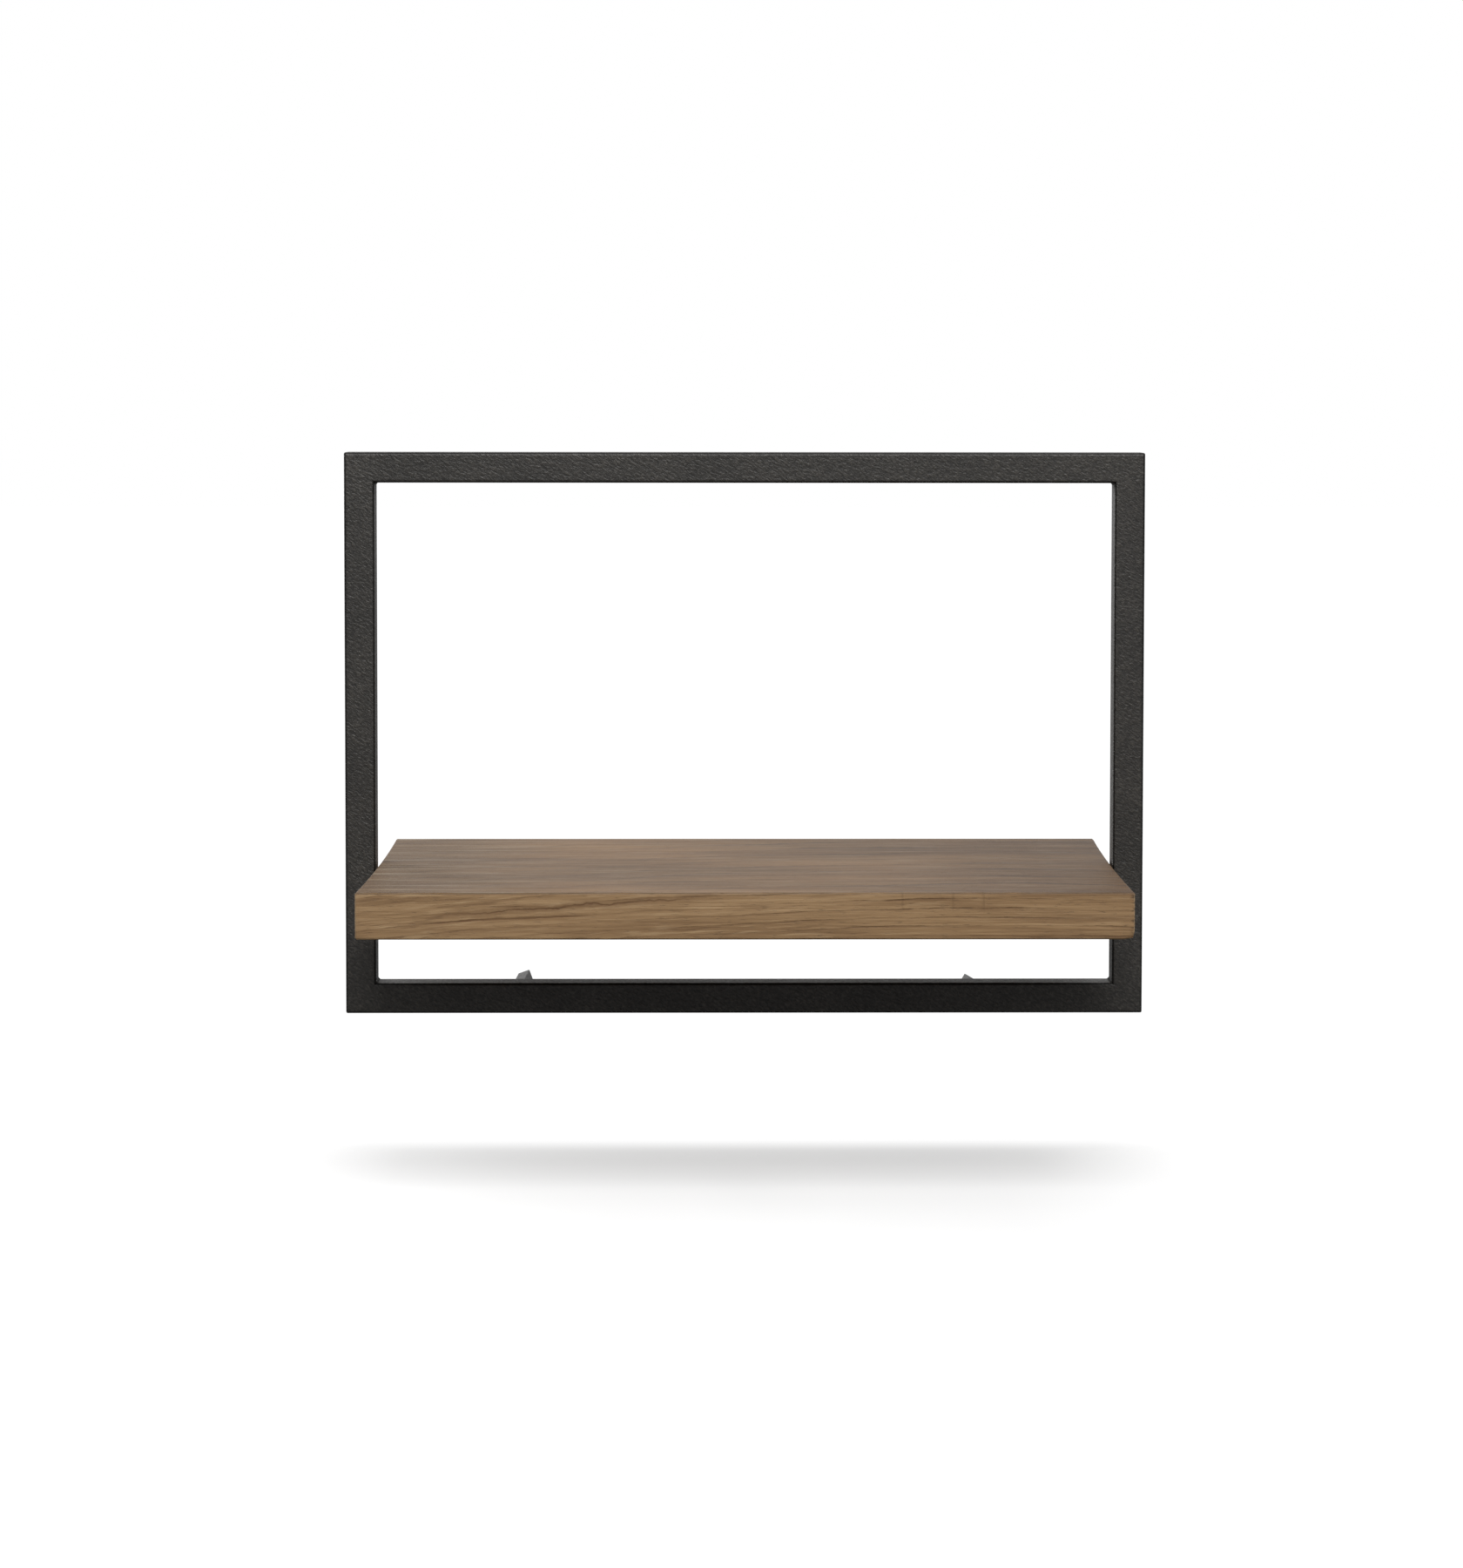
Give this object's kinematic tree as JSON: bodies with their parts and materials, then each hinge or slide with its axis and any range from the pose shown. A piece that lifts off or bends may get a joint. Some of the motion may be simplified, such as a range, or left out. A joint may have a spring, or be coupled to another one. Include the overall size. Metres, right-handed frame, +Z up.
{
  "type": "wall shelf",
  "caption": "Wall shelf: a thick hardwood board passing through an upright rectangular frame of welded square tube, with stand-off bars and keyhole plates at the wall.",
  "frame": {"origin": "on the board's rear face, which is the wall plane, at half the board's thickness and in the frame's middle plane", "axes": "+X to the right across the shelf, +Y towards the wall, +Z up"},
  "size_m": [0.5, 0.25, 0.3575],
  "materials": {
    "powder_coat": "fine textured charcoal powder coat",
    "hardwood": "brushed, oiled, greyed on top",
    "zinc_plate": "dull zinc plating",
    "black_screw": "black passivated screw"
  },
  "bodies": {
    "root": {"bottom_rail": "powder_coat", "top_rail": "powder_coat", "left_upright": "powder_coat", "right_upright": "powder_coat", "corner_weld_bottom_left": "powder_coat", "corner_weld_bottom_right": "powder_coat", "corner_weld_top_left": "powder_coat", "corner_weld_top_right": "powder_coat", "shelf_board": "hardwood", "left_cleat": "powder_coat", "right_cleat": "powder_coat", "left_cleat_weld": "powder_coat", "right_cleat_weld": "powder_coat", "cleat_screws": "black_screw", "left_keyhole_plate": "zinc_plate", "right_keyhole_plate": "zinc_plate", "keyhole_screws": "zinc_plate", "left_standoff": "powder_coat", "left_standoff_weld": "powder_coat", "right_standoff": "powder_coat", "right_standoff_weld": "powder_coat"}
  },
  "joints": []
}
